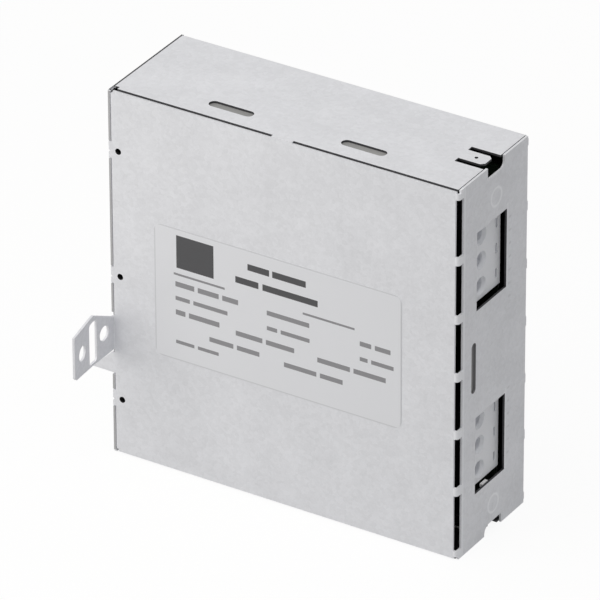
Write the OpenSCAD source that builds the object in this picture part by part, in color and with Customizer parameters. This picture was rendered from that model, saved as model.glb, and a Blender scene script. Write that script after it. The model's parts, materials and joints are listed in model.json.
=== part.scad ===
// Three-phase line filter in a folded sheet-metal case. The case is a chassis (left web, top and
// bottom panels) closed by a wrap (front, right and back panels) that carries two fixing lugs.
// The origin is the centre of the base face, +Z is up and the front panel faces -Y.

/* [Case] */
// Width of the case, left web to right panel
case_w = 135; // [130:1:160]
// Depth of the case, front panel to back panel
case_d = 45; // [43:0.5:56]
// Height of the case
case_h = 140; // [134:1:170]
// Thickness of all the case's sheet metal
sheet = 0.8; // [0.6:0.1:1.0]
// Inside radius of every fold
fold_r = 0.4; // [0.3:0.1:0.6]
// Free gap left where two edges of the case meet
edge_gap = 0.3; // [0.1:0.05:0.4]

/* [Perforated folds] */
// How far the front fold's slots reach onto the front panel
slot_front_reach = 1.5; // [1.3:0.1:2.0]
// How far the front fold's slots reach onto the right panel
slot_side_reach = 3; // [1.5:0.1:4]
// How far the back fold's slots reach onto the back and the right panel
slot_back_reach = 1.3; // [1.2:0.1:2.0]
// Height of the bridges between fold slots
bridge_h = 3.15; // [2:0.05:5]
// Distance between neighbouring bridges
bridge_pitch = 21.85; // [18:0.05:23]
// Height left uncut at each end of a fold
fold_end = 3.5; // [2.5:0.1:6]
// Height cut off each fold at its two ends
fold_trim = 1.2; // [0.8:0.1:1.5]

/* [Chassis] */
// Step down from the case's top to the wrap's upper edge
top_step = 0.6; // [0.5:0.1:1.0]
// Length of each ventilation slot in the top and bottom
vent_l = 17; // [12:1:22]
// Width of each ventilation slot
vent_w = 3.8; // [2.5:0.1:5]
// Distance of the ventilation slots from the front edge
vent_inset = 9.1; // [7:0.1:12]
// Distance between the centres of the two ventilation slots
vent_pitch = 51; // [40:1:60]
// Width of the scored groove along each left fold
score_w = 1; // [0.6:0.1:1.2]
// Depth of that groove
score_depth = 0.45; // [0.3:0.05:0.5]
// Length of the notch at the top panel's front left and the bottom panel's back left corner
corner_notch = 2.8; // [1.5:0.1:3.5]

/* [Earth tongues] */
// Width of each earth tongue
tongue_w = 6.3; // [4.8:0.1:6.3]
// Length of each earth tongue from the root of its slits
tongue_l = 9.5; // [8:0.5:12]
// Width of the slit on each side of a tongue
tongue_slit = 2.4; // [1.5:0.1:3]
// Distance from the case's right end to the root of the slits
tongue_root = 12; // [11:0.5:16]
// Diameter of the hole in a tongue
tongue_hole_d = 1.3; // [1.0:0.1:1.8]

/* [Edge tabs] */
// Height of the three tabs on the wrap's left edges
tab_h = 6.2; // [5:0.1:8]
// Distance between neighbouring edge tabs
tab_pitch = 47.8; // [44:0.1:50]
// Drop of the middle edge tab below mid height
tab_drop = 0.8; // [0:0.1:2]
// Diameter of the fixing hole beside each tab
fixing_d = 2.3; // [1.6:0.1:3]
// Distance of the fixing holes from the left edge
fixing_inset = 3.7; // [3.5:0.1:5]
// Length of the chassis ears behind the tabs
ear_l = 7; // [6.5:0.5:9]
// Width of the locating tab in the middle of the front panel's upper and the back panel's lower edge
centre_tab_w = 8; // [5:0.5:12]

/* [Terminal windows] */
// Width of each window in the right panel
window_w = 19.1; // [18.8:0.1:20]
// Free height of each window below its block
window_margin = 0.9; // [0.1:0.1:1.4]
// Distance of the windows from the front face
window_inset = 11.5; // [11:0.1:11.9]
// Distance between the two terminal blocks, centre to centre
block_pitch = 70; // [62:0.5:74]
// How far a block's face lies behind the right panel's face
block_recess = 2.4; // [1.2:0.1:4]
// Height of the oblong slot between the windows
side_slot_l = 19; // [12:1:26]
// Width of the oblong slot between the windows
side_slot_w = 2.8; // [2:0.1:4]
// Distance of that slot from the front face
side_slot_inset = 10; // [8:0.1:12]

/* [Fixing lugs] */
// Height of a lug's free end
lug_h = 19; // [17:0.5:24]
// Height of a lug's root on the wrap
lug_root_h = 12.8; // [11:0.1:16]
// Distance from the front face to the lug's own bend line
lug_l = 13.15; // [12:0.05:16]
// Length of the lug's bent tip
lug_tip_l = 15.1; // [14:0.1:20]
// Angle of the bent tip
lug_tip_angle = 10; // [0:1:20]
// Height of the lug's lower edge above the base
lug_z = 40.4; // [36:0.1:46]
// Diameter of the lug's two fixing holes
lug_hole_d = 5.5; // [4.3:0.1:6]
// Distance from the front face to the first fixing hole
lug_hole_inset = 5.95; // [5:0.05:7]
// Distance from the bend line to the second fixing hole
lug_tip_hole = 8.7; // [7:0.1:10]
// Rise of the bent tip's lower edge toward its end
lug_taper = 1.9; // [0:0.1:3]
// Width of the slot along the lug's bend line
lug_slot_w = 5.2; // [3:0.1:5.6]
// Height of that slot
lug_slot_h = 15.8; // [10:0.1:16.4]
// Side of the triangular hook below each lug
hook_l = 8; // [5:0.1:10]

/* [Label] */
// Width of the label
label_w = 96; // [80:1:100]
// Height of the label
label_h = 50.5; // [40:0.5:60]
// Thickness of the label film
label_t = 0.12; // [0.08:0.01:0.3]
// Radius of the label's corners
label_r = 3; // [1:0.5:5]

/* [Circuit board] */
// Thickness of the circuit board
board_t = 1.6; // [1.2:0.1:2.4]
// Distance of the board's component side from the front face
board_inset = 30.5; // [30:0.1:31]
// Free margin of the board to the case, above and below
board_margin = 6; // [4:0.5:8]
// Width across flats of the board standoffs
standoff_af = 5.5; // [5:0.1:7]
// Diameter of the board screws
screw_d = 3; // [2.5:0.1:3.5]

/* [Terminals] */
// Number of poles of each terminal block
poles = 3; // [3:1:3]
// Distance between neighbouring poles
pole_pitch = 9.5; // [9:0.1:10]
// Depth of a terminal block along its wire entries
block_l = 20.1; // [19:0.1:24]
// Wall between neighbouring poles and behind them
block_wall = 1.2; // [0.8:0.1:1.6]
// Diameter of a wire entry
entry_d = 5; // [4:0.1:5.4]
// Diameter of the funnel at the mouth of a wire entry
funnel_d = 6.6; // [5.6:0.1:7.4]
// Depth of that funnel
funnel_l = 1.2; // [0.6:0.1:2]
// Distance of the wire entries from the front face
entry_inset = 18.2; // [17.5:0.1:18.6]
// Depth of a wire entry before its clamping space
entry_l = 7; // [5:0.1:8]
// Thickness of the current bars
bar_t = 1; // [0.8:0.1:1.2]
// Width of the current bars and clamping springs
bar_w = 5; // [4:0.1:6]
// Thickness of the clamping springs
spring_t = 0.5; // [0.3:0.05:0.7]

/* [Choke] */
// Outside diameter of the ring core
core_od = 40; // [36:0.5:42]
// Inside diameter of the ring core
core_id = 24; // [22:0.5:26]
// Height of the ring core
core_h = 15; // [12:0.5:16]
// Wall of the plastic core case
core_wall = 0.8; // [0.6:0.1:1.0]
// Diameter of the winding wire
wire_d = 1.05; // [0.8:0.05:1.1]
// Turns of each winding
turns = 12; // [8:1:12]
// Angle that each winding covers
winding_span = 92; // [84:1:96]

/* [Capacitors and resistors] */
// Length of an X capacitor
xcap_l = 31.5; // [26:0.5:32]
// Thickness of an X capacitor
xcap_w = 13; // [9:0.5:14]
// Height of an X capacitor above the board
xcap_h = 22; // [15:0.5:24]
// Diameter of a Y capacitor disc
ycap_d = 10; // [7:0.5:11]
// Thickness of a Y capacitor disc
ycap_t = 4.2; // [3:0.1:5]
// Diameter of a bleed resistor's body
resistor_d = 2.5; // [1.8:0.1:3]
// Length of a bleed resistor's body
resistor_l = 6.5; // [5:0.1:8]

/* [Liners] */
// Thickness of the insulating liners
liner_t = 0.5; // [0.3:0.1:0.8]

/* [Hidden] */
$fn = 48;

// Cuts run this far past the faces they open.
over = 0.5;

// Case faces and folds
left_x = -case_w / 2;
right_x = case_w / 2;
front_y = -case_d / 2;
back_y = case_d / 2;
mid_z = case_h / 2;
bend_r = fold_r + sheet;
inner_front_y = front_y + sheet;
inner_back_y = back_y - sheet;
inner_right_x = right_x - sheet;
inner_top_z = case_h - sheet;

// Chassis edges
panel_y = -inner_front_y - edge_gap;
panel_end_x = inner_right_x - edge_gap;
wrap_left_x = left_x + sheet + edge_gap;
ear_h = tab_h - 2 * edge_gap;
tab_z = [for (i = [-1:1]) mid_z - tab_drop + i * tab_pitch];
score_x = left_x + 0.35;
dimple_d = 0.9;

// Lugs and hooks
hook_z = lug_z - hook_l - 1.2;
lug_corner = 1.3;
lug_slot_r = 1.2;
lug_shoulder = 0.75;
lug_slot_z = lug_z + 1 + lug_slot_h / 2;
lug_relief_z0 = hook_z - 0.7;
lug_relief_z1 = lug_z + lug_root_h + 1.5;

// Terminal blocks
board_y = front_y + board_inset;
block_face_x = right_x - block_recess;
block_back_x = block_face_x - block_l;
block_h = poles * pole_pitch;
block_front_y = front_y + window_inset + 0.5;
block_mid_z = [mid_z + block_pitch / 2, mid_z - block_pitch / 2];
entry_y = front_y + entry_inset;
cell_front_x = block_face_x - entry_l;
cell_back_x = block_back_x + block_wall;
cell_front_y = entry_y - entry_d / 2 - bar_t - 0.2;
cell_h = pole_pitch - block_wall;
driver_y = entry_y + 9.8;
driver_w = 1.1;
driver_h = 3.6;
pin_l = board_t + 1.4;
pin_w = 1;
pin_gap = 0.15;

// Circuit board
board_side = 7.5;
board_x0 = left_x + board_side;
board_x1 = block_face_x - 1.1;
board_z0 = board_margin;
board_z1 = case_h - board_margin;
post_inset = 10;
post_side = 5;
posts = [for (x = [board_x0 + post_side, block_back_x - post_side]) for (z = [board_z0, board_z1])
    [x, z == board_z0 ? z + post_inset : z - post_inset]];
screw_head_d = 1.85 * screw_d;
screw_head_h = 0.66 * screw_d;
screw_grip = 6;

// Choke, in its own frame: axis +Z, board side at zero
choke_x = block_back_x - 38;
case_clear = 0.2;
ring_od = core_od + 2 * (core_wall + case_clear);
ring_id = core_id - 2 * (core_wall + case_clear);
ring_h = core_h + 2 * core_wall + case_clear;
wire_clear = 0.15;
base_t = 1.5;
ring_z = base_t + wire_d + 2 * wire_clear;
wind_r0 = ring_id / 2 - wire_clear - wire_d / 2;
wind_r1 = ring_od / 2 + wire_clear + wire_d / 2;
wind_z0 = ring_z - wire_clear - wire_d / 2;
wind_z1 = ring_z + ring_h + wire_clear + wire_d / 2;
wire_bend = wire_d;
wire_sides = 6;
wind_steps = 12 * turns;
foot_span = 120 - winding_span - 14;

// Loose parts on the board: [x, z]
xcap_x = board_x0 + post_side + screw_head_d / 2 + 1 + xcap_w / 2;
xcap_z = [for (i = [-1:1]) mid_z + i * (xcap_l + 3)];
xcap_pin_d = 0.8;
xcap_pins = xcap_l - 4;
ycap_x = [for (i = [0:2]) choke_x - 14 + i * 13];
ycap_z = board_z0 + 13;
ycap_lift = 2;
resistor_x = [for (i = [0:2]) choke_x - 14 + i * 11];
resistor_z = board_z1 - 16;
lead_d = 0.7;
resistor_lift = 1.2;
strap_w = 8;
strap_t = 0.8;

// ---------- shared shapes ----------

// Places its children as they are and again turned half round the case's long axis.
module both_ends() {
    children();
    translate([0, 0, case_h]) rotate([180, 0, 0]) children();
}

// A quarter of a folded sheet, filling the -X -Y corner, along +Z.
module fold_bar(length) {
    linear_extrude(length) intersection() {
        difference() {
            circle(bend_r);
            circle(fold_r);
        }
        translate([-bend_r - over, -bend_r - over]) square(bend_r + over);
    }
}

// A flat slot with round ends, centred, with its length along X.
module oblong(length, width) {
    square([length - width, width], center = true);
    for (s = [-1, 1]) translate([s * (length - width) / 2, 0]) circle(width / 2);
}

// A rectangle with four round corners, centred.
module rounded(w, h, r) {
    square([w, h - 2 * r], center = true);
    square([w - 2 * r, h], center = true);
    for (x = [-1, 1]) for (y = [-1, 1]) translate([x * (w / 2 - r), y * (h / 2 - r)]) circle(r);
}

// Stands a flat outline (x, z) upright with its face toward -Y at y, and its thickness behind.
module upright_xz(y, t) {
    translate([0, y + t, 0]) rotate([90, 0, 0]) linear_extrude(t) children();
}

// Stands a flat outline (y, z) upright between x and x + t.
module upright_yz(x, t) {
    translate([x, 0, 0]) rotate([90, 0, 90]) linear_extrude(t) children();
}

// ---------- wrap: front, right and back panels with the lugs ----------

// One large panel, seen from outside, with its edge tabs, hook and fixing holes.
module large_panel() {
    upright_xz(front_y, sheet) difference() {
        union() {
            translate([wrap_left_x, top_step])
                square([right_x - bend_r - wrap_left_x, case_h - 2 * top_step]);
            for (z = tab_z) translate([left_x, z - tab_h / 2]) square([over + sheet + edge_gap, tab_h]);
            translate([-centre_tab_w / 2, mid_z]) square([centre_tab_w, case_h - mid_z]);
            translate([left_x + bend_r, lug_z]) square([over, lug_root_h]);
            polygon([[wrap_left_x + over, hook_z], [left_x - hook_l, hook_z],
                [left_x, hook_z + hook_l], [wrap_left_x + over, hook_z + hook_l]]);
        }
        for (z = tab_z) {
            translate([left_x + fixing_inset, z]) circle(d = fixing_d);
            translate([left_x, z - 0.6]) circle(d = dimple_d);
        }
        for (z = [0, case_h - bend_r - edge_gap])
            translate([wrap_left_x - over, z]) square([sheet + over, bend_r + edge_gap]);
    }
}

// The lug: folded forward off the panel's left edge, then bent again at its slot.
module lug() {
    difference() {
        union() {
            translate([left_x + bend_r, front_y - fold_r, lug_z]) rotate([0, 0, -90]) fold_bar(lug_root_h);
            upright_yz(left_x, sheet) polygon([
                [front_y - fold_r, lug_z], [front_y - lug_l, lug_z], [front_y - lug_l, lug_z + lug_h],
                [front_y - lug_l + lug_shoulder, lug_z + lug_h], [front_y - fold_r, lug_z + lug_root_h]]);
            translate([left_x, front_y - lug_l, lug_z]) rotate([0, 0, lug_tip_angle]) lug_tip();
        }
        lug_hole(front_y - lug_hole_inset);
        upright_yz(left_x - over, sheet + 3 * over) translate([front_y - lug_l, lug_slot_z])
            rounded(lug_slot_w, lug_slot_h, lug_slot_r);
    }
}

// The lug's tip from its bend line, lying along -Y.
module lug_tip() {
    difference() {
        upright_yz(0, sheet) polygon([[0, 0], [lug_corner - lug_tip_l, lug_taper],
            [-lug_tip_l, lug_taper + lug_corner], [-lug_tip_l, lug_h - 0.4], [0, lug_h]]);
        translate([-over, -lug_tip_hole, lug_h / 2]) rotate([0, 90, 0])
            cylinder(h = sheet + 2 * over, d = lug_hole_d);
    }
}

module lug_hole(y) {
    translate([left_x - over, y, lug_z + lug_h / 2 - 0.5]) rotate([0, 90, 0])
        cylinder(h = sheet + 2 * over, d = lug_hole_d);
}

// The row of slots that lets a fold be bent by hand, around the corner line at the origin.
module fold_slots(panel_reach, side_reach) {
    bridges = concat([fold_end - bridge_h / 2],
        [for (i = [-2:2]) mid_z + i * bridge_pitch],
        [case_h - fold_end + bridge_h / 2]);
    for (i = [0:len(bridges) - 2]) {
        z0 = bridges[i] + bridge_h / 2;
        z1 = bridges[i + 1] - bridge_h / 2;
        translate([-panel_reach, -over, z0]) cube([panel_reach + over, side_reach + over, z1 - z0]);
    }
}

// The opening round an earth tongue at the right panel's upper edge.
module tongue_notch(y0, y1, depth, r, round_at) {
    difference() {
        translate([y0, case_h - depth]) square([y1 - y0, depth + over]);
        translate([round_at, case_h - depth]) difference() {
            square(2 * r, center = true);
            for (s = [-1, 1]) translate([s * r, r]) circle(r);
        }
    }
}

module right_panel() {
    upright_yz(inner_right_x, sheet) difference() {
        translate([front_y + bend_r, 0]) square([case_d - 2 * bend_r, case_h]);
        for (z = block_mid_z) translate([front_y + window_inset, z - block_h / 2 - window_margin])
            square([window_w, block_h + window_margin]);
        translate([front_y + side_slot_inset, mid_z - 1]) rotate(90) oblong(side_slot_l, side_slot_w);
        tongue_notch(front_y + 18, front_y + 28.8, 4.2, 2, front_y + 28.8);
        translate([0, case_h]) mirror([0, 1]) tongue_notch(front_y + 18, front_y + 29, 3.6, 3, front_y + 18);
    }
}

module cover_wrap() color([0.83, 0.83, 0.84]) {
    difference() {
        union() {
            right_panel();
            both_ends() {
                large_panel();
                translate([right_x - bend_r, front_y + bend_r, fold_trim]) rotate([0, 0, 90])
                    fold_bar(case_h - 2 * fold_trim);
            }
        }
        translate([right_x, front_y, 0]) fold_slots(slot_front_reach, slot_side_reach);
        translate([right_x, back_y, 0]) mirror([0, 1, 0]) fold_slots(slot_back_reach, slot_back_reach);
    }
    both_ends() lug();
}

// ---------- chassis: left web with the top and bottom panels ----------

// The top panel with its scored fold to the web, locating tab, corner notch, vents and earth tongue.
module chassis_end() {
    difference() {
        union() {
            translate([left_x + bend_r, -panel_y, inner_top_z])
                cube([panel_end_x - left_x - bend_r, 2 * panel_y, sheet]);
            translate([-centre_tab_w / 2, inner_front_y, inner_top_z])
                cube([centre_tab_w, edge_gap + over, sheet]);
            translate([left_x + bend_r, front_y, case_h - bend_r]) rotate([-90, 0, 0]) fold_bar(case_d);
        }
        translate([0, 0, inner_top_z - over]) linear_extrude(sheet + 2 * over) {
            for (s = [-1, 1]) translate([s * vent_pitch / 2 + 0.5, front_y + vent_inset])
                oblong(vent_l, vent_w);
            tongue_slits();
        }
        translate([score_x, front_y - over, case_h - score_depth])
            cube([score_w, case_d + 2 * over, score_depth + over]);
        translate([score_x, -panel_y - over, inner_top_z - over])
            cube([corner_notch, corner_notch / 2 + over, sheet + 2 * over]);
    }
}

// The two slits beside an earth tongue, its eased tip and its hole.
module tongue_slits() {
    root_x = right_x - tongue_root;
    tip_x = root_x + tongue_l;
    ease = 1.2;
    difference() {
        translate([root_x, -tongue_w / 2 - tongue_slit])
            square([tongue_root + over, tongue_w + 2 * tongue_slit]);
        polygon([[root_x - over, -tongue_w / 2], [tip_x - ease, -tongue_w / 2], [tip_x, -tongue_w / 2 + ease],
            [tip_x, tongue_w / 2 - ease], [tip_x - ease, tongue_w / 2], [root_x - over, tongue_w / 2]]);
    }
    translate([tip_x - 4.5, 0]) circle(d = tongue_hole_d);
}

// The web's front edge is cut back at the wrap's tabs and lug.
module web_edge_cuts() {
    for (z = tab_z) translate([left_x - over, front_y - over, z - tab_h / 2 - edge_gap])
        cube([sheet + 2 * over, sheet + bend_r + over, tab_h + 2 * edge_gap]);
    translate([left_x - over, front_y - over, lug_relief_z0])
        cube([sheet + 2 * over, sheet + edge_gap + over, lug_relief_z1 - lug_relief_z0]);
}

// The ears that the web turns inward behind the wrap's tabs.
module web_ears() {
    for (z = tab_z) translate([0, 0, z - ear_h / 2]) {
        translate([left_x + bend_r, inner_front_y + bend_r, 0]) fold_bar(ear_h);
        difference() {
            translate([left_x + bend_r, inner_front_y, 0]) cube([ear_l - bend_r, sheet, ear_h]);
            translate([left_x + fixing_inset, inner_front_y - over, ear_h / 2]) rotate([-90, 0, 0])
                cylinder(h = sheet + 2 * over, d = fixing_d);
        }
    }
}

module chassis() color([0.78, 0.79, 0.80]) {
    difference() {
        translate([left_x, front_y, bend_r]) cube([sheet, case_d, case_h - 2 * bend_r]);
        both_ends() web_edge_cuts();
    }
    both_ends() {
        chassis_end();
        web_ears();
    }
}

module rating_label() color([0.85, 0.86, 0.87]) {
    upright_xz(front_y - label_t, label_t) translate([-2, mid_z - 0.75]) rounded(label_w, label_h, label_r);
}

// ---------- liners ----------

module end_liner() {
    liner_y = panel_y - 1.5;
    translate([left_x + 6, -liner_y, inner_top_z - liner_t])
        cube([case_w - tongue_root - 8, 2 * liner_y, liner_t]);
}

module top_liner() color([0.72, 0.72, 0.70]) end_liner();

module bottom_liner() color([0.72, 0.72, 0.70]) translate([0, 0, case_h]) rotate([180, 0, 0]) end_liner();

// The liner between the two terminal blocks, on the right panel's inner face.
module side_liner() color([0.72, 0.72, 0.70]) {
    z0 = block_mid_z[1] + block_h / 2 + 2;
    z1 = block_mid_z[0] - block_h / 2 - 2;
    translate([inner_right_x - liner_t, front_y + 4, z0]) cube([liner_t, case_d - 8, z1 - z0]);
}

// ---------- circuit board and its fixings ----------

module circuit_board() color([0.20, 0.42, 0.28]) {
    difference() {
        translate([board_x0, board_y, board_z0]) cube([board_x1 - board_x0, board_t, board_z1 - board_z0]);
        for (p = posts) board_hole(p[0], p[1], screw_d + 0.2);
        for (z = xcap_z) for (s = [-1, 1])
            board_hole(xcap_x, z + s * xcap_pins / 2, xcap_pin_d + 2 * pin_gap);
        for (zm = block_mid_z) for (i = [0:poles - 1])
            translate([cell_back_x - pin_gap, board_y - over, pole_z(zm, i) - pin_w / 2 - pin_gap])
                cube([bar_t + 2 * pin_gap, board_t + 2 * over, pin_w + 2 * pin_gap]);
    }
}

module board_hole(x, z, d) {
    translate([x, board_y - over, z]) rotate([-90, 0, 0]) cylinder(h = board_t + 2 * over, d = d);
}

module board_standoffs() color([0.72, 0.70, 0.60]) {
    y = board_y + board_t;
    for (p = posts) translate([p[0], y, p[1]]) rotate([-90, 0, 0]) difference() {
        cylinder(h = inner_back_y - y, d = standoff_af / cos(30), $fn = 6);
        translate([0, 0, -over]) cylinder(h = screw_grip + 1 + over, d = screw_d + 0.1);
    }
}

module board_screws() color([0.80, 0.80, 0.80]) {
    for (p = posts) translate([p[0], board_y, p[1]]) rotate([-90, 0, 0]) {
        difference() {
            translate([0, 0, -screw_head_h]) cylinder(h = screw_head_h, d = screw_head_d);
            for (a = [0, 90]) rotate(a) translate([0, 0, -screw_head_h])
                cube([0.6 * screw_head_d, 0.7, screw_head_h], center = true);
        }
        cylinder(h = board_t + screw_grip, d = screw_d - 0.1);
    }
}

// ---------- terminals ----------

function pole_z(block_z, i) = block_z + (i - (poles - 1) / 2) * pole_pitch;

// A block, open toward the board, with a funnelled wire entry and a driver slot for each pole.
module terminal_housing(block_z) {
    difference() {
        translate([block_back_x, block_front_y, block_z - block_h / 2])
            cube([block_l, board_y - block_front_y, block_h]);
        for (i = [0:poles - 1]) translate([0, 0, pole_z(block_z, i)]) {
            translate([cell_back_x, cell_front_y, -cell_h / 2])
                cube([cell_front_x - cell_back_x, board_y + over - cell_front_y, cell_h]);
            translate([cell_front_x - over, entry_y, 0]) rotate([0, 90, 0])
                cylinder(h = entry_l + 2 * over, d = entry_d);
            translate([block_face_x - funnel_l, entry_y, 0]) rotate([0, 90, 0])
                cylinder(h = funnel_l + over, d1 = entry_d,
                    d2 = funnel_d + (funnel_d - entry_d) * over / funnel_l);
            translate([cell_front_x - over, driver_y - driver_w / 2, -driver_h / 2])
                cube([entry_l + 2 * over, driver_w, driver_h]);
        }
    }
}

module line_terminal_housing() color([0.66, 0.67, 0.68]) terminal_housing(block_mid_z[0]);

module load_terminal_housing() color([0.66, 0.67, 0.68]) terminal_housing(block_mid_z[1]);

// A current bar: a contact plate beside the wire entry, and a leg down to the board with its pin.
module busbar(block_z, i) color([0.80, 0.62, 0.35]) {
    leg_l = board_y - cell_front_y;
    corner = bar_t + fold_r;
    translate([cell_back_x, cell_front_y, pole_z(block_z, i)]) {
        translate([corner, 0, -bar_w / 2]) cube([cell_front_x - cell_back_x - corner - 0.5, bar_t, bar_w]);
        translate([corner, corner, -bar_w / 2]) linear_extrude(bar_w) intersection() {
            difference() {
                circle(corner);
                circle(fold_r);
            }
            translate([-corner - over, -corner - over]) square(corner + over);
        }
        translate([0, corner, -bar_w / 2]) cube([bar_t, leg_l - corner, bar_w]);
        translate([0, leg_l - over, -pin_w / 2]) cube([bar_t, pin_l + over, pin_w]);
    }
}

// A clamping spring: a foot from the bar's leg, a round bend, and a leg that leans on the bar.
module clamp_spring(block_z, i) color([0.75, 0.76, 0.78]) {
    bend = 2;
    inner = bend - spring_t;
    bend_x = cell_front_x - bend - 0.6;
    bend_y = board_y - 1.2 - bend;
    foot_l = bend_x - cell_back_x - bar_t;
    tip = [cell_back_x + 4 - bend_x, cell_front_y + bar_t - bend_y];
    reach = norm(tip);
    lean = atan2(tip[1], tip[0]) + acos(bend / reach);
    leg_l = sqrt(reach * reach - bend * bend);
    steps = 16;
    arc = [for (k = [0:steps]) 90 + (lean - 90) * k / steps];
    outside = [for (a = arc) bend * [cos(a), sin(a)]];
    inside = [for (k = [steps:-1:0]) inner * [cos(arc[k]), sin(arc[k])]];
    leg_end = [for (r = [bend, inner])
        [r * cos(lean) + leg_l * sin(lean), r * sin(lean) - leg_l * cos(lean)]];
    translate([bend_x, bend_y, pole_z(block_z, i) - bar_w / 2]) linear_extrude(bar_w)
        polygon(concat([[-foot_l, bend]], outside, leg_end, inside, [[-foot_l, inner]]));
}

// ---------- choke, built on its own axis and then laid against the board ----------

module on_board(x, z) {
    translate([x, board_y, z]) rotate([90, 0, 0]) children();
}

module choke_core() color([0.30, 0.30, 0.32]) on_board(choke_x, mid_z)
    translate([0, 0, ring_z + core_wall]) difference() {
        cylinder(h = core_h, d = core_od);
        translate([0, 0, -over]) cylinder(h = core_h + 2 * over, d = core_id);
    }

module choke_case() color([0.15, 0.15, 0.16]) on_board(choke_x, mid_z)
    translate([0, 0, ring_z]) difference() {
        cylinder(h = ring_h - core_wall, d = ring_od);
        translate([0, 0, -over]) cylinder(h = ring_h + 2 * over, d = ring_id);
        translate([0, 0, core_wall]) difference() {
            cylinder(h = ring_h, d = core_od + 2 * case_clear);
            translate([0, 0, -over]) cylinder(h = ring_h + 2 * over, d = core_id - 2 * case_clear);
        }
    }

module choke_lid() color([0.15, 0.15, 0.16]) on_board(choke_x, mid_z)
    translate([0, 0, ring_z + ring_h - core_wall]) difference() {
        cylinder(h = core_wall, d = ring_od);
        translate([0, 0, -over]) cylinder(h = core_wall + 2 * over, d = ring_id);
    }

// The base plate with three feet under the ring and the three-armed divider inside it.
module choke_base() color([0.85, 0.84, 0.80]) on_board(choke_x, mid_z) {
    divider_t = 1.6;
    difference() {
        cylinder(h = base_t, d = ring_od + 4);
        for (i = [0:2]) for (k = [2, wind_steps + 2]) rotate(60 + 120 * i + wind_angle(k))
            translate([wind_r1, 0, -over]) cylinder(h = base_t + 2 * over, d = wire_d + 4 * wire_clear);
    }
    for (a = [0:120:240]) rotate(a) {
        intersection() {
            translate([0, 0, base_t - over]) difference() {
                cylinder(h = ring_z - base_t + over, d = ring_od);
                translate([0, 0, -over]) cylinder(h = ring_z + 2 * over, d = ring_id + 4);
            }
            linear_extrude(ring_z) polygon([[0, 0],
                [ring_od * cos(foot_span / 2), -ring_od * sin(foot_span / 2)],
                [ring_od * cos(foot_span / 2), ring_od * sin(foot_span / 2)]]);
        }
        translate([0, -divider_t / 2, 0]) cube([ring_id / 2 - 0.3, divider_t, ring_z + ring_h - 1]);
    }
}

// The middle line of a winding, in the ring's section: [radius, height] at each twelfth of a turn.
function turn_points() = [
    for (c = [[wind_r1 - wire_bend, wind_z0 + wire_bend, 270],
              [wind_r1 - wire_bend, wind_z1 - wire_bend, 0],
              [wind_r0 + wire_bend, wind_z1 - wire_bend, 90],
              [wind_r0 + wire_bend, wind_z0 + wire_bend, 180]])
        for (k = [0:2]) let (out = c[2] + 45 * k)
            [c[0] + wire_bend * cos(out), c[1] + wire_bend * sin(out), out]
];

// The angle round the ring at step k of a winding.
function wind_angle(k) = -winding_span / 2 + winding_span * k / wind_steps;

// One ring of wire corners round a middle point, across the direction at angle out in the section.
function wire_ring(r, h, out, a) = [
    for (s = [0:wire_sides - 1])
        let (w = 360 * s / wire_sides, across = wire_d / 2 * cos(w), off = wire_d / 2 * sin(w))
            [(r + off * cos(out)) * cos(a) - across * sin(a), (r + off * cos(out)) * sin(a) + across * cos(a),
             h + off * sin(out)]
];

// A winding over the ring, with both ends led down to the board outside the ring.
module winding(i) color([0.72, 0.42, 0.18]) on_board(choke_x, mid_z) rotate(60 + 120 * i) {
    loop = turn_points();
    turn_rings = [for (k = [2:wind_steps]) let (p = loop[k % len(loop)])
        wire_ring(p[0], p[1], p[2], wind_angle(k))];
    start_ring = wire_ring(wind_r1, 0, 0, wind_angle(2));
    end_rings = [for (k = [1:2]) wire_ring(wind_r1 - wire_bend * (1 - sin(45 * k)),
        wind_z0 - wire_bend * (1 - cos(45 * k)), 270 - 45 * k, wind_angle(wind_steps + k))];
    last_ring = wire_ring(wind_r1, 0, 180, wind_angle(wind_steps + 2));
    rings = concat([start_ring], turn_rings, end_rings, [last_ring]);
    n = len(rings);
    sides = [for (k = [0:n - 2]) for (s = [0:wire_sides - 1])
        let (t = (s + 1) % wire_sides, at = k * wire_sides)
            [at + s, at + t, at + wire_sides + t, at + wire_sides + s]];
    start_cap = [for (s = [wire_sides - 1:-1:0]) s];
    end_cap = [for (s = [0:wire_sides - 1]) (n - 1) * wire_sides + s];
    polyhedron(points = [for (ring = rings) for (p = ring) p],
        faces = concat(sides, [start_cap], [end_cap]));
}

// ---------- capacitors, resistors and the earth strap ----------

module x_capacitor(i) color([0.90, 0.78, 0.22]) on_board(xcap_x, xcap_z[i]) {
    linear_extrude(xcap_h) rounded(xcap_w, xcap_l, 1);
    for (s = [-1, 1]) translate([0, s * xcap_pins / 2, -pin_l]) cylinder(h = pin_l + over, d = xcap_pin_d);
}

module y_capacitor(i) color([0.15, 0.35, 0.65]) on_board(ycap_x[i], ycap_z) {
    rim = ycap_t / 3;
    translate([0, 0, ycap_lift + ycap_d / 2]) rotate([90, 0, 0]) translate([0, 0, -ycap_t / 2]) {
        translate([0, 0, rim]) cylinder(h = ycap_t - 2 * rim, d = ycap_d);
        cylinder(h = ycap_t, d = ycap_d - 2 * rim);
    }
    for (s = [-1, 1]) translate([s * ycap_d / 4, 0, 0]) cylinder(h = ycap_lift + ycap_d / 4, d = lead_d);
}

module bleed_resistor(i) color([0.55, 0.65, 0.75]) on_board(resistor_x[i], resistor_z) {
    h = resistor_lift + resistor_d / 2;
    reach = resistor_l / 2 + 1.5;
    translate([0, 0, h]) rotate([90, 0, 0]) {
        translate([0, 0, -resistor_l / 2]) cylinder(h = resistor_l, d = resistor_d);
        translate([0, 0, -reach]) cylinder(h = 2 * reach, d = lead_d);
    }
    for (s = [-1, 1]) translate([0, s * reach, 0]) cylinder(h = h + lead_d / 2, d = lead_d);
}

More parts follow.
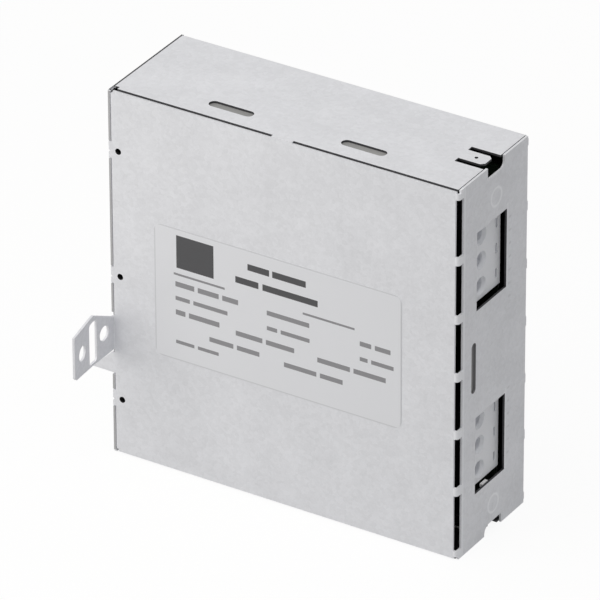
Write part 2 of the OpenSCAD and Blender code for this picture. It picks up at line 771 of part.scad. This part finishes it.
// A bent strap from the board's edge to the left web.
module earth_strap() color([0.78, 0.74, 0.62]) {
    z = mid_z - strap_w / 2;
    lap = 3.5;
    leg_l = 9;
    translate([left_x + sheet, board_y - strap_t, z])
        cube([board_x0 + lap - left_x - sheet, strap_t, strap_w]);
    translate([left_x + sheet, board_y - leg_l, z]) cube([strap_t, leg_l, strap_w]);
}

// ---------- build ----------

cover_wrap();
chassis();
rating_label();
circuit_board();
board_standoffs();
board_screws();
line_terminal_housing();
load_terminal_housing();
for (i = [0:poles - 1]) {
    busbar(block_mid_z[0], i);
    busbar(block_mid_z[1], i);
    clamp_spring(block_mid_z[0], i);
    clamp_spring(block_mid_z[1], i);
}
choke_core();
choke_case();
choke_lid();
choke_base();
for (i = [0:2]) {
    winding(i);
    x_capacitor(i);
    y_capacitor(i);
    bleed_resistor(i);
}
earth_strap();
top_liner();
bottom_liner();
side_liner();
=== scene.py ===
"""Looks of the three-phase line filter: materials, label print, terminal lip, floor, lights and camera."""
import json
import math
from functools import reduce

import bmesh
import bpy
from mathutils import Matrix, Vector


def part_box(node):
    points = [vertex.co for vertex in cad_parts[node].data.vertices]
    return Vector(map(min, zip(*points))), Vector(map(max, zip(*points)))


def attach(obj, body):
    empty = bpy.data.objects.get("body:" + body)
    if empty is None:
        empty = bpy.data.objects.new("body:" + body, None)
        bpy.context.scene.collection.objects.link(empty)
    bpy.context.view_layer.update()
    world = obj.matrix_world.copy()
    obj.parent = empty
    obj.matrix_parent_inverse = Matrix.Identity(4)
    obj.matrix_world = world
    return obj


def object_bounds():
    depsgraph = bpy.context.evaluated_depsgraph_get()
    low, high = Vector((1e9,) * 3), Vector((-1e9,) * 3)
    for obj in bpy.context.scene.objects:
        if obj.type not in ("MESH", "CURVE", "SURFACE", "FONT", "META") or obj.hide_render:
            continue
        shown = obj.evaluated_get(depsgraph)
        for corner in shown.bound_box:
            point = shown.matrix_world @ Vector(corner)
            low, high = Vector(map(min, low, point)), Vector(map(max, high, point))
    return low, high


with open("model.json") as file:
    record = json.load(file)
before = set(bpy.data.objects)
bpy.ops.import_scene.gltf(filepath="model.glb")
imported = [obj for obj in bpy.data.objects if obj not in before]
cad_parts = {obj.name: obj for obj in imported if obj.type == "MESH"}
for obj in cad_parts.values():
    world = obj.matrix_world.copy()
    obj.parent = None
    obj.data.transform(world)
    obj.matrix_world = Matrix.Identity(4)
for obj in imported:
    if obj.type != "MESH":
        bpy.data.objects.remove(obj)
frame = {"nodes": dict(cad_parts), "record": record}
cad_low, cad_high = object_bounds()
MM = 0.001

chassis_low, chassis_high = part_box("chassis")
label_low, label_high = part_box("rating_label")
line_block_low, line_block_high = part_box("line_terminal_housing")
load_block_low, load_block_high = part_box("load_terminal_housing")
case_left = chassis_low.x
case_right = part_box("cover_wrap")[1].x
case_front = chassis_low.y
case_back = chassis_high.y
case_top = chassis_high.z
case_middle = case_top / 2


# ---------- node helpers ----------

# The numbers of the sockets by which a Mix node mixes two colours.
MIX_FACTOR = 0
MIX_FROM = 6
MIX_TO = 7
MIX_RESULT = 2


class Nodes:
    """Short calls for the nodes of one tree. A value is a number, a colour or another node's output.

    A mask is 1 where what it names is, and 0 elsewhere.
    """

    def __init__(self, tree):
        self.tree = tree

    def feed(self, socket, value):
        if isinstance(value, bpy.types.NodeSocket):
            self.tree.links.new(value, socket)
        elif socket.type == "RGBA":
            socket.default_value = (*value, 1.0)
        else:
            socket.default_value = value

    def node(self, kind, inputs=None, **settings):
        made = self.tree.nodes.new(kind)
        for name, value in settings.items():
            setattr(made, name, value)
        for socket, value in (inputs or {}).items():
            self.feed(made.inputs[socket], value)
        return made

    def math(self, operation, a, b=0.0):
        return self.node("ShaderNodeMath", {0: a, 1: b}, operation=operation).outputs[0]

    def ramp(self, value, span, result):
        """Runs from one end of result to the other as the value runs from one end of span to the other."""
        low, high = span
        start, end = result
        inputs = {"Value": value, "From Min": low, "From Max": high, "To Min": start, "To Max": end}
        return self.node("ShaderNodeMapRange", inputs).outputs["Result"]

    def mix(self, factor, start, end):
        """The colour start where the factor is 0, and the colour end where it is 1."""
        sockets = {MIX_FACTOR: factor, MIX_FROM: start, MIX_TO: end}
        return self.node("ShaderNodeMix", sockets, data_type="RGBA").outputs[MIX_RESULT]

    def tones(self, factor, color, darkest, lightest):
        """A colour times darkest where the factor is 0, and times lightest where it is 1."""
        return self.mix(factor, shade(color, darkest), shade(color, lightest))

    def weighted(self, *terms):
        """The sum of some values, each given with its share."""
        shares = [self.math("MULTIPLY", value, share) for value, share in terms]
        return reduce(lambda total, share: self.math("ADD", total, share), shares)

    def absolute(self, value):
        return self.math("ABSOLUTE", value)

    def apart(self, value, centre):
        return self.absolute(self.math("SUBTRACT", value, centre))

    def above(self, value, limit):
        return self.math("GREATER_THAN", value, limit)

    def below(self, value, limit):
        return self.math("LESS_THAN", value, limit)

    def within(self, value, low, high):
        return self.all_of(self.above(value, low), self.below(value, high))

    def opposite(self, mask):
        return self.math("SUBTRACT", 1.0, mask)

    def all_of(self, *masks):
        """Where all the masks are. A number among them makes what is left weaker."""
        return reduce(lambda total, mask: self.math("MULTIPLY", total, mask), masks)

    def any_of(self, *masks):
        return reduce(lambda total, mask: self.math("MAXIMUM", total, mask), masks)

    def seen(self):
        """A mask of what is seen directly, or in metal or glass, and not of the light that it gives."""
        path = self.node("ShaderNodeLightPath").outputs
        return self.any_of(path["Is Camera Ray"], path["Is Glossy Ray"], path["Is Transmission Ray"])


class Shader(Nodes):
    """A material with a Principled shader and the nodes that feed it."""

    def __init__(self, name, color, metallic=0.0, roughness=0.5):
        self.material = bpy.data.materials.new(name)
        self.material.use_nodes = True
        super().__init__(self.material.node_tree)
        self.shader = self.tree.nodes["Principled BSDF"]
        self.set("Base Color", color)
        self.set("Metallic", metallic)
        self.set("Roughness", roughness)
        self.coordinates = self.node("ShaderNodeTexCoord").outputs

    def set(self, name, value):
        self.feed(self.shader.inputs[name], value)

    def axes(self, kind):
        """X, Y and Z of the place ("Object") or of the way that the surface faces ("Normal")."""
        return self.node("ShaderNodeSeparateXYZ", {"Vector": self.coordinates[kind]}).outputs

    def noise(self, scale, detail=3.0, rough=0.5, place=None):
        vector = place or self.coordinates["Object"]
        inputs = {"Vector": vector, "Scale": scale, "Detail": detail, "Roughness": rough}
        return self.node("ShaderNodeTexNoise", inputs).outputs["Fac"]

    def bump(self, height, strength, distance):
        inputs = {"Height": height, "Strength": strength, "Distance": distance}
        self.set("Normal", self.node("ShaderNodeBump", inputs).outputs["Normal"])


def shade(color, factor):
    return tuple(min(1.0, channel * factor) for channel in color)


# ---------- galvanised sheet ----------

ZINC = (0.775, 0.784, 0.818)
# Light zinc: painted highlight on the wrap's rims and bars, and the tone of the plain rings in place of its
# marks.
HIGHLIGHT_AND_MARK_ZINC = (0.92, 0.93, 0.96)
IN_SHADE = (0.02, 0.02, 0.022)
# Painted shade: the near-black cut edges and score lines, and the grey vent and web edges, stand for the
# shade in the gaps and grooves beside them.
CUT_EDGE = (0.05, 0.05, 0.055)
VENT_EDGE = (0.25, 0.25, 0.26)
SCORE_LINE = (0.07, 0.07, 0.075)
WEB_EDGE = (0.45, 0.45, 0.46)
TICK_GREY = (0.5, 0.5, 0.52)

# A surface faces along an axis where its normal has more than this share of it.
FACING = 0.5

# A point deeper than this behind the case's outer faces is on the inside of a sheet.
INSIDE_DEPTH = 0.75 * MM


def galvanised(name, color):
    """Zinc-coated sheet: a fine spangle and grain, and slow clouds. Gives the shader and its tone back."""
    s = Shader(name, color, metallic=0.2, roughness=0.64)
    cells = s.node("ShaderNodeTexVoronoi", {"Vector": s.coordinates["Object"], "Scale": 750.0})
    spangle = s.node("ShaderNodeSeparateColor", {"Color": cells.outputs["Color"]}).outputs
    clouds = s.noise(70.0, detail=5.0, rough=0.62)
    grain = s.noise(1500.0, rough=0.7)
    tone = s.weighted((spangle["Red"], 0.16), (clouds, 0.5), (grain, 0.34))
    sheet_tone = s.tones(s.ramp(tone, (0.25, 0.75), (0.0, 1.0)), color, darkest=0.915, lightest=1.085)
    s.set("Roughness", s.ramp(tone, (0.2, 0.8), (0.70, 0.58)))
    s.bump(s.weighted((grain, 1.0), (spangle["Green"], 0.15)), strength=0.10, distance=0.04 * MM)
    return s, sheet_tone


def fixing_hole_walls(s, place, normal):
    """A mask of the walls of the fixing holes beside the left tabs."""
    inset = 3.7 * MM
    reach = 1.4 * MM
    end_band = 3 * MM
    proud = 0.5 * MM
    return s.all_of(s.below(s.absolute(normal["Y"]), FACING),
                    s.within(place["X"], case_left + inset - reach, case_left + inset + reach),
                    s.within(place["Y"], case_front - proud, case_back + proud),
                    s.within(place["Z"], end_band, case_top - end_band))


def inner_faces(s, place):
    """A mask of the faces of the sheets that look into the case."""
    return s.all_of(s.within(place["X"], case_left + INSIDE_DEPTH, case_right - INSIDE_DEPTH),
                    s.within(place["Y"], case_front + INSIDE_DEPTH, case_back - INSIDE_DEPTH),
                    s.within(place["Z"], INSIDE_DEPTH, case_top - INSIDE_DEPTH))


def paint_sheet(s, tone, place, normal):
    """Gives a sheet its tone, with its inside and its fixing holes in shade."""
    shaded = s.any_of(fixing_hole_walls(s, place, normal), inner_faces(s, place))
    s.set("Base Color", s.mix(shaded, tone, IN_SHADE))


# ---------- wrap ----------

# The skin of the right panel: its sheet and a little more.
PANEL_SKIN = 0.85 * MM

# The plain rings in place of the panel's earth marks.
RING_Y = 1.2 * MM
RING_HEIGHTS = (case_top - 13.0 * MM, 10.2 * MM)
RING_RADIUS = 3.3 * MM
RING_LINE = 0.7 * MM
RING_TONE = 0.9

# The ticks in place of the pole marks: each runs across from one end to the other, in Y, and the rows of
# them are in mm above the case's middle.
TICK_PITCH = 5 * MM
TICK_SHARE = 0.16
TICK_ENDS = (9.5 * MM, 11 * MM)
TICK_ROWS = ((-48, -18), (14, 48))
TICK_TONE = 0.3

# Painted highlights: the bright rims beside the front fold and the windows, by their distance from the
# case's front.
RIM_CORE = 0.2 * MM
FOLD_RIM = 3.6 * MM
FOLD_RIM_FADE = 0.7 * MM
FOLD_RIM_TONE = 0.6
WINDOW_RIM = 31.1 * MM
WINDOW_RIM_FADE = 0.6 * MM
WINDOW_RIM_TONE = 0.45
WINDOW_ROWS = ((-50, -19), (19, 51))

# Painted highlights: the bright bars on the bends between the front fold's slots, by their reach from the
# case's front and right side.
BAR_DEPTH = 3 * MM
BAR_WIDTH = 1.5 * MM
BAR_TONE = 0.6

# The side vent's row. Its cut edges get a painted shade less dark than the windows' do.
VENT_ROWS = ((-12, 10),)


def at_rows(s, place, rows):
    """A mask of some rows, whose lower and upper ends are given in mm above the case's middle."""
    masks = [s.within(place["Z"], case_middle + low * MM, case_middle + high * MM) for low, high in rows]
    return s.any_of(*masks)


def cut_edges(s, place, normal, on_right):
    """A mask of the cut edges of the right panel's windows and vent."""
    fold_band = 5.5 * MM
    end_band = 5 * MM
    return s.all_of(on_right,
                    s.below(s.absolute(normal["X"]), FACING),
                    s.below(s.absolute(place["Y"]), case_back - fold_band),
                    s.within(place["Z"], end_band, case_top - end_band))


def ring(s, place, height):
    """A soft-edged ring on the right panel, 1 on its line."""
    across = s.math("SUBTRACT", place["Y"], RING_Y)
    up = s.math("SUBTRACT", place["Z"], height)
    squares = [s.math("MULTIPLY", part, part) for part in (across, up)]
    away = s.math("SQRT", s.math("ADD", *squares))
    return s.ramp(s.apart(away, RING_RADIUS), (0.0, RING_LINE), (1.0, 0.0))


def pole_ticks(s, place):
    """A mask of the rows of ticks beside the windows."""
    along = s.math("FRACT", s.math("DIVIDE", place["Z"], TICK_PITCH))
    return s.all_of(s.below(along, TICK_SHARE),
                    s.within(place["Y"], *TICK_ENDS),
                    at_rows(s, place, TICK_ROWS))


def rim(s, place, inset, fade, tone):
    """An upright stripe on the right panel that fades out on both sides of its core."""
    return s.ramp(s.apart(place["Y"], case_front + inset), (RIM_CORE, fade), (tone, 0.0))


def bright_lines(s, place, outer):
    """The painted highlights: the rims on the outer face, and the bars between the front fold's slots."""
    fold_rim = rim(s, place, FOLD_RIM, FOLD_RIM_FADE, FOLD_RIM_TONE)
    window_rim = s.all_of(rim(s, place, WINDOW_RIM, WINDOW_RIM_FADE, WINDOW_RIM_TONE),
                          at_rows(s, place, WINDOW_ROWS))
    bars = s.all_of(s.below(place["Y"], case_front + BAR_DEPTH),
                    s.above(place["X"], case_right - BAR_WIDTH), BAR_TONE)
    return s.any_of(s.all_of(outer, s.any_of(fold_rim, window_rim)), bars)


def wrap_sheet(name, color):
    """The wrap: painted shade on its cut edges, painted highlights in bright rims and bars, and plain rings
    and ticks in place of the panel's marks.
    """
    s, tone = galvanised(name, color)
    place = s.axes("Object")
    normal = s.axes("Normal")
    on_right = s.above(place["X"], case_right - PANEL_SKIN)
    outer = s.all_of(on_right, s.above(normal["X"], FACING))
    rings = s.any_of(*[ring(s, place, height) for height in RING_HEIGHTS])
    bright = s.any_of(s.all_of(rings, outer, RING_TONE), bright_lines(s, place, outer))
    edge = s.mix(at_rows(s, place, VENT_ROWS), CUT_EDGE, VENT_EDGE)
    # Painted highlights on the rims and bars, and the plain rings, in light zinc.
    tone = s.mix(bright, tone, HIGHLIGHT_AND_MARK_ZINC)
    tone = s.mix(s.all_of(outer, pole_ticks(s, place), TICK_TONE), tone, TICK_GREY)
    # Painted shade on the cut edges of the windows and the vent.
    tone = s.mix(cut_edges(s, place, normal, on_right), tone, edge)
    paint_sheet(s, tone, place, normal)
    return s.material


# ---------- chassis ----------

# How far the top and bottom panels' edges, and the web with its bends, reach in from the case's outside.
END_SKIN = 0.9 * MM
WEB_SKIN = 1.5 * MM

# The scored grooves along the left folds, in painted shade: how far from the case's left side they start,
# and the depths between which their floor lies.
SCORE_START = 0.33 * MM
SCORE_DEPTHS = (0.38 * MM, 0.5 * MM)

# The web's sheared edges face front or back more squarely than its bends do.
EDGE_FACING = 0.7


def chassis_sheet(name, color):
    """The chassis: painted shade on the sheared edges of its panels and web, and in the scored folds."""
    s, tone = galvanised(name, color)
    place = s.axes("Object")
    normal = s.axes("Normal")
    height = s.apart(place["Z"], case_middle)
    at_end = s.above(height, case_middle - END_SKIN)
    past_web = s.above(place["X"], case_left + WEB_SKIN)
    in_web = s.opposite(past_web)
    least, most = SCORE_DEPTHS
    panel_edge = s.all_of(s.below(s.absolute(normal["Z"]), FACING), at_end, past_web)
    score = s.all_of(s.above(place["X"], case_left + SCORE_START), in_web,
                     s.within(height, case_middle - most, case_middle - least))
    web_edge = s.all_of(s.above(s.absolute(normal["Y"]), EDGE_FACING), in_web, s.opposite(at_end))
    # Painted shade on the panels' cut edges, in the scored folds and on the web's edges.
    tone = s.mix(panel_edge, tone, CUT_EDGE)
    tone = s.mix(score, tone, SCORE_LINE)
    tone = s.mix(web_edge, tone, WEB_EDGE)
    paint_sheet(s, tone, place, normal)
    return s.material


# ---------- plastic, metal, film and ink ----------

BLOCK_SHADE = (0.015, 0.015, 0.016)
LINER_SHADE = (0.02, 0.02, 0.02)
# Painted shade: the side liner behind the side vent, darker than the liner's own grey.
LINER_AT_VENT = (0.26, 0.26, 0.265)
BLACK = (0.0, 0.0, 0.0)

# The row in which the side liner shows through the side vent.
LINER_ROWS = ((-14, 14),)


def spark_grain(s):
    """The grain of a spark-eroded mould, as a fine bump. Gives the grain back."""
    grain = s.noise(2200.0, detail=2.0, rough=0.6)
    s.bump(grain, strength=0.15, distance=0.04 * MM)
    return grain


def fibre(s):
    """The faint fibre of film and ink, as a very fine bump."""
    s.bump(s.noise(900.0, detail=2.0, rough=0.6), strength=0.05, distance=0.03 * MM)


def even_clouds(s, color):
    """A colour with clouds that hardly show."""
    return s.tones(s.noise(30.0, detail=2.0), color, darkest=0.985, lightest=1.015)


def moulded(name, color, roughness=0.45):
    """Moulded plastic: a fine spark-eroded grain and slight mottling."""
    s = Shader(name, color, roughness=roughness)
    s.set("Base Color", s.tones(s.noise(60.0), color, darkest=0.95, lightest=1.05))
    s.set("Roughness", s.ramp(spark_grain(s), (0.3, 0.7), (roughness - 0.06, roughness + 0.06)))
    return s.material


def bare_metal(name, color, roughness):
    """Rolled or plated metal with faint draw lines."""
    s = Shader(name, color, metallic=1.0, roughness=roughness)
    drawn = s.node("ShaderNodeMapping", {"Vector": s.coordinates["Object"], "Scale": (40.0, 40.0, 900.0)})
    lines = s.noise(1.0, place=drawn.outputs["Vector"])
    s.set("Base Color", s.tones(lines, color, darkest=0.9, lightest=1.06))
    s.set("Roughness", s.ramp(lines, (0.3, 0.7), (roughness - 0.05, roughness + 0.1)))
    s.bump(lines, strength=0.08, distance=0.03 * MM)
    return s.material


def ink(name, color):
    """Matt printing ink."""
    s = Shader(name, color, roughness=0.6)
    s.set("Base Color", even_clouds(s, color))
    fibre(s)
    return s.material


def terminal_plastic(name, color):
    """The terminal blocks' plastic, in shade on their front sides and tops, deep behind the sheet."""
    s = Shader(name, color, roughness=0.45)
    place = s.axes("Object")
    skin = 0.1 * MM
    sides = [s.below(place["Y"], line_block_low.y + skin)]
    for top in (line_block_high.z, load_block_high.z):
        sides.append(s.within(place["Z"], top - skin, top + skin))
    tone = s.tones(s.noise(60.0), color, darkest=0.97, lightest=1.02)
    s.set("Base Color", s.mix(s.any_of(*sides), tone, BLOCK_SHADE))
    spark_grain(s)
    return s.material


def liner_film(name, color):
    """The insulating liners, in painted shade: near black everywhere but behind the vents, where their grey
    is darkened too.
    """
    s = Shader(name, color, roughness=0.7)
    place = s.axes("Object")
    above_side_liner = 0.9 * case_top
    tone = s.mix(at_rows(s, place, LINER_ROWS), LINER_SHADE, LINER_AT_VENT)
    tone = s.mix(s.above(place["Z"], above_side_liner), tone, color)
    mottle = s.ramp(s.noise(120.0), (0.3, 0.7), (0.0, 0.12))
    s.set("Base Color", s.mix(mottle, tone, BLACK))
    fibre(s)
    return s.material


def label_film(name, color):
    """The label: smooth film with a faint outline along its edge."""
    s = Shader(name, color, metallic=0.2, roughness=0.45)
    place = s.axes("Object")
    edge = 0.45 * MM
    field = s.all_of(s.within(place["X"], label_low.x + edge, label_high.x - edge),
                     s.within(place["Z"], label_low.z + edge, label_high.z - edge))
    s.set("Base Color", s.mix(field, shade(color, 0.84), even_clouds(s, color)))
    fibre(s)
    return s.material


# Each material slot's maker, its colour, and its roughness where the maker takes one.
MATERIALS = {
    "galvanised_wrap": (wrap_sheet, ZINC),
    "galvanised_chassis": (chassis_sheet, ZINC),
    "label_film": (label_film, (0.775, 0.784, 0.815)),
    "block_plastic": (terminal_plastic, (0.93, 0.945, 0.99)),
    # The board's green is darkened nearly to black, as painted shade inside the case.
    "board_laminate": (moulded, (0.006, 0.014, 0.008), 0.5),
    # The liner's grey is darkened as painted shade under the top vents.
    "liner_film": (liner_film, (0.36, 0.36, 0.36)),
    "plated_brass": (bare_metal, (0.75, 0.62, 0.38), 0.3),
    "spring_steel": (bare_metal, (0.68, 0.69, 0.71), 0.25),
    "zinc_screws": (bare_metal, (0.72, 0.73, 0.75), 0.3),
    "ring_core": (moulded, (0.10, 0.10, 0.11), 0.6),
    "case_plastic": (moulded, (0.02, 0.02, 0.022), 0.4),
    "base_plastic": (moulded, (0.70, 0.67, 0.60), 0.5),
    "enamelled_copper": (bare_metal, (0.72, 0.27, 0.09), 0.28),
    "capacitor_yellow": (moulded, (0.78, 0.50, 0.03), 0.4),
    "capacitor_blue": (moulded, (0.02, 0.09, 0.36), 0.25),
    "resistor_body": (moulded, (0.22, 0.36, 0.50), 0.25),
    "tinned_strap": (bare_metal, (0.76, 0.75, 0.72), 0.3),
}


def dress_nodes():
    """Gives every CAD node the material of its slot."""
    made = {}
    for part in frame["record"]["subparts"]:
        slot = part["material_slot"]
        if slot not in made:
            maker, *looks = MATERIALS[slot]
            made[slot] = maker(slot, *looks)
        mesh = frame["nodes"][part["node"]].data
        mesh.materials.clear()
        mesh.materials.append(made[slot])


# ---------- mesh helpers ----------

def add_box(bm, middle, size):
    """An upright box with this middle and size in X, Y and Z."""
    bmesh.ops.create_cube(bm, size=1.0, matrix=Matrix.Translation(middle) @ Matrix.Diagonal((*size, 1.0)))


def new_piece(name, bm, material):
    """Makes a piece of a bmesh, in this material, that rides on the case."""
    mesh = bpy.data.meshes.new(name)
    bm.normal_update()
    bm.to_mesh(mesh)
    bm.free()
    piece = bpy.data.objects.new(name, mesh)
    bpy.context.scene.collection.objects.link(piece)
    mesh.materials.append(material)
    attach(piece, "root")


# ---------- label print ----------

INK_THICKNESS = 0.02 * MM

# The share of a row's height that its bars fill.
INK_SHARE = 0.8

# Places on the label are in mm, rightward and down from its top left corner.
BLOCK_MIDDLE = (16.0, 8.7)
BLOCK_SIZE = (14.6, 12.4)

# The rows of bars: the first bar's left end, how far down the row's middle is, its height, its bars' widths
# and the gap between them.
DARK_ROWS = (
    (36.6, 6.4, 3.0, (8.4, 13.0), 1.2),
    (31.8, 12.4, 3.0, (9.0, 21.4), 1.6),
)
GREY_ROWS = (
    (7.6, 17.4, 1.0, (20.0,), 1.4),
    (58.0, 17.6, 1.0, (20.0,), 1.4),
    (8.2, 21.2, 2.4, (7.4, 8.2, 6.2), 1.4),
    (44.0, 21.6, 2.2, (16.5,), 1.4),
    (80.0, 22.4, 2.2, (4.4, 6.0), 1.4),
    (8.2, 26.6, 1.9, (5.6, 13.4), 1.4),
    (44.0, 27.4, 1.9, (4.0, 11.2), 1.4),
    (80.0, 28.2, 1.9, (3.0, 8.6), 1.4),
    (8.2, 32.0, 2.4, (3.8, 12.0), 1.4),
    (31.8, 33.0, 2.3, (10.4, 11.0), 1.4),
    (63.6, 33.6, 2.3, (12.6, 12.4), 1.4),
    (21.4, 38.6, 2.2, (9.4, 8.8), 1.4),
    (50.6, 39.4, 2.2, (12.6, 8.8), 1.4),
    (8.2, 43.4, 1.6, (7.2, 8.2), 1.4),
)


def add_bar(bm, right, down, width, height):
    """A thin bar on the label, with its middle at a place on the label, all in mm."""
    middle = (label_low.x + right * MM, label_low.y - INK_THICKNESS / 2, label_high.z - down * MM)
    add_box(bm, middle, (width * MM, INK_THICKNESS, height * MM))


def add_row(bm, start, down, height, widths, gap):
    """A row of bars from start rightward, all in mm."""
    for width in widths:
        add_bar(bm, start + width / 2, down, width, INK_SHARE * height)
        start += width + gap


def label_print():
    """Plain bars and a plain block in place of the label's printing."""
    dark = bmesh.new()
    add_bar(dark, *BLOCK_MIDDLE, *BLOCK_SIZE)
    for row in DARK_ROWS:
        add_row(dark, *row)
    new_piece("label_print_dark", dark, ink("label_ink", (0.07, 0.07, 0.075)))
    grey = bmesh.new()
    for row in GREY_ROWS:
        add_row(grey, *row)
    new_piece("label_print_grey", grey, ink("label_grey_ink", (0.29, 0.29, 0.305)))


# ---------- terminal lip ----------

LIP_SIZE = Vector((1.1, 3.5, 1.0)) * MM

# From the lower block's front bottom corner, on the side of the window, to the lip's middle.
LIP_OFFSET = Vector((1.0, 7.6, -1.15)) * MM


def terminal_lip():
    """The small pale lip that shows in the gap under the lower terminal block."""
    corner = Vector((load_block_high.x, load_block_low.y, load_block_low.z))
    lip = bmesh.new()
    add_box(lip, corner + LIP_OFFSET, LIP_SIZE)
    new_piece("terminal_lip", lip, moulded("lip_plastic", (0.96, 0.96, 0.97)))


# ---------- floor, lights and camera ----------

# Sizes and places are in metres.
FLOOR_SIZE = 8.0
FLOOR_DROP = 0.02 * MM

# The floor is white where it is seen, and grey in the light that it gives the object.
WHITE = (1.0, 1.0, 1.0)
FLOOR_GREY = (0.45, 0.45, 0.45)

# How far the dark floor under the case stays in from the case's sides, and from its front and back.
DARK_FLOOR_SIDE = 9.0 * MM
DARK_FLOOR_FRONT = 1.0 * MM

# How much of the seen floor's white is its own. The rest takes the object's shadow.
FLOOR_GLOW = 0.92

# The share of full white that the world gives the object, and the lamps' strengths.
WORLD_LIGHT = 0.46
TOP_LIGHT = 0.80
LEFT_LIGHT = 0.86
LAMP_COLOR = (1.0, 0.974, 0.927)
TOP_LIGHT_FROM = (-0.03, -0.25, 0.97)
TOP_LIGHT_ANGLE = 40
LEFT_BOX_PLACE = (-0.25, -0.37, 0.25)
LEFT_BOX_TARGET = (-0.02, -0.02, 0.07)
LEFT_BOX_SIZE = 0.45

# The camera's angles are in degrees, its distance and target in metres, and its lens and sensor in mm.
CAMERA_AZIMUTH = 31.843
CAMERA_ELEVATION = 30.032
CAMERA_ROLL = -0.21
CAMERA_DISTANCE = 2.573
CAMERA_TARGET = Vector((-7.09 * MM, 0, 66.28 * MM))
CAMERA_LENS = 463.3
CAMERA_SENSOR = 36.0
CAMERA_CLIP = (0.1, 20.0)


def open_floor(s):
    """A mask of the floor away from the case. Under the case the floor is dark."""
    place = s.axes("Object")
    beside = s.above(s.absolute(place["X"]), case_right - DARK_FLOOR_SIDE)
    before = s.above(s.absolute(place["Y"]), case_back - DARK_FLOOR_FRONT)
    return s.any_of(beside, before)


def floor():
    """A white floor with the object's faint shadow, dark under the case."""
    bpy.ops.mesh.primitive_plane_add(size=FLOOR_SIZE, location=(0, 0, cad_low.z - FLOOR_DROP))
    plane = bpy.context.object
    plane.name = "floor"
    s = Shader("floor_white", FLOOR_GREY, roughness=0.9)
    seen = s.seen()
    s.set("Base Color", s.mix(seen, FLOOR_GREY, WHITE))
    glow = s.node("ShaderNodeEmission", {"Color": WHITE, "Strength": 1.0})
    share = s.all_of(seen, open_floor(s), FLOOR_GLOW)
    mixed = s.node("ShaderNodeMixShader", {0: share, 1: s.shader.outputs[0], 2: glow.outputs[0]})
    s.feed(s.tree.nodes["Material Output"].inputs["Surface"], mixed.outputs[0])
    plane.data.materials.append(s.material)


def lamp(name, kind, back, energy, place=(0.0, 0.0, 0.0)):
    """A lamp whose light comes from the direction back. Gives its data back, for its size."""
    data = bpy.data.lights.new(name, kind)
    data.energy = energy
    data.color = LAMP_COLOR
    made = bpy.data.objects.new(name, data)
    bpy.context.scene.collection.objects.link(made)
    made.location = place
    made.rotation_mode = "QUATERNION"
    made.rotation_quaternion = Vector(back).to_track_quat("Z", "Y")
    return data


def lights():
    """A plain white world, a broad lamp overhead and a soft box at the left."""
    world = bpy.data.worlds.new("studio")
    bpy.context.scene.world = world
    world.use_nodes = True
    s = Nodes(world.node_tree)
    background = s.tree.nodes["Background"].inputs
    s.feed(background["Color"], WHITE)
    s.feed(background["Strength"], s.ramp(s.seen(), (0.0, 1.0), (WORLD_LIGHT, 1.0)))
    overhead = lamp("overhead", "SUN", TOP_LIGHT_FROM, TOP_LIGHT)
    overhead.angle = math.radians(TOP_LIGHT_ANGLE)
    back = Vector(LEFT_BOX_PLACE) - Vector(LEFT_BOX_TARGET)
    left_box = lamp("left_box", "AREA", back, LEFT_LIGHT, LEFT_BOX_PLACE)
    left_box.size = LEFT_BOX_SIZE


def camera():
    """A long lens from the front right, above."""
    azimuth = math.radians(CAMERA_AZIMUTH)
    elevation = math.radians(CAMERA_ELEVATION)
    back = Vector((math.sin(azimuth) * math.cos(elevation),
                   -math.cos(azimuth) * math.cos(elevation), math.sin(elevation)))
    data = bpy.data.cameras.new("camera")
    data.lens = CAMERA_LENS
    data.sensor_width = CAMERA_SENSOR
    data.clip_start, data.clip_end = CAMERA_CLIP
    made = bpy.data.objects.new("camera", data)
    bpy.context.scene.collection.objects.link(made)
    turn = (-back).to_track_quat("-Z", "Y").to_matrix().to_4x4()
    roll = Matrix.Rotation(math.radians(CAMERA_ROLL), 4, "Z")
    made.matrix_world = Matrix.Translation(CAMERA_TARGET + back * CAMERA_DISTANCE) @ turn @ roll
    bpy.context.scene.camera = made


dress_nodes()
label_print()
terminal_lip()
floor()
lights()
camera()
bpy.context.scene.view_settings.view_transform = "Standard"

bpy.context.view_layer.update()
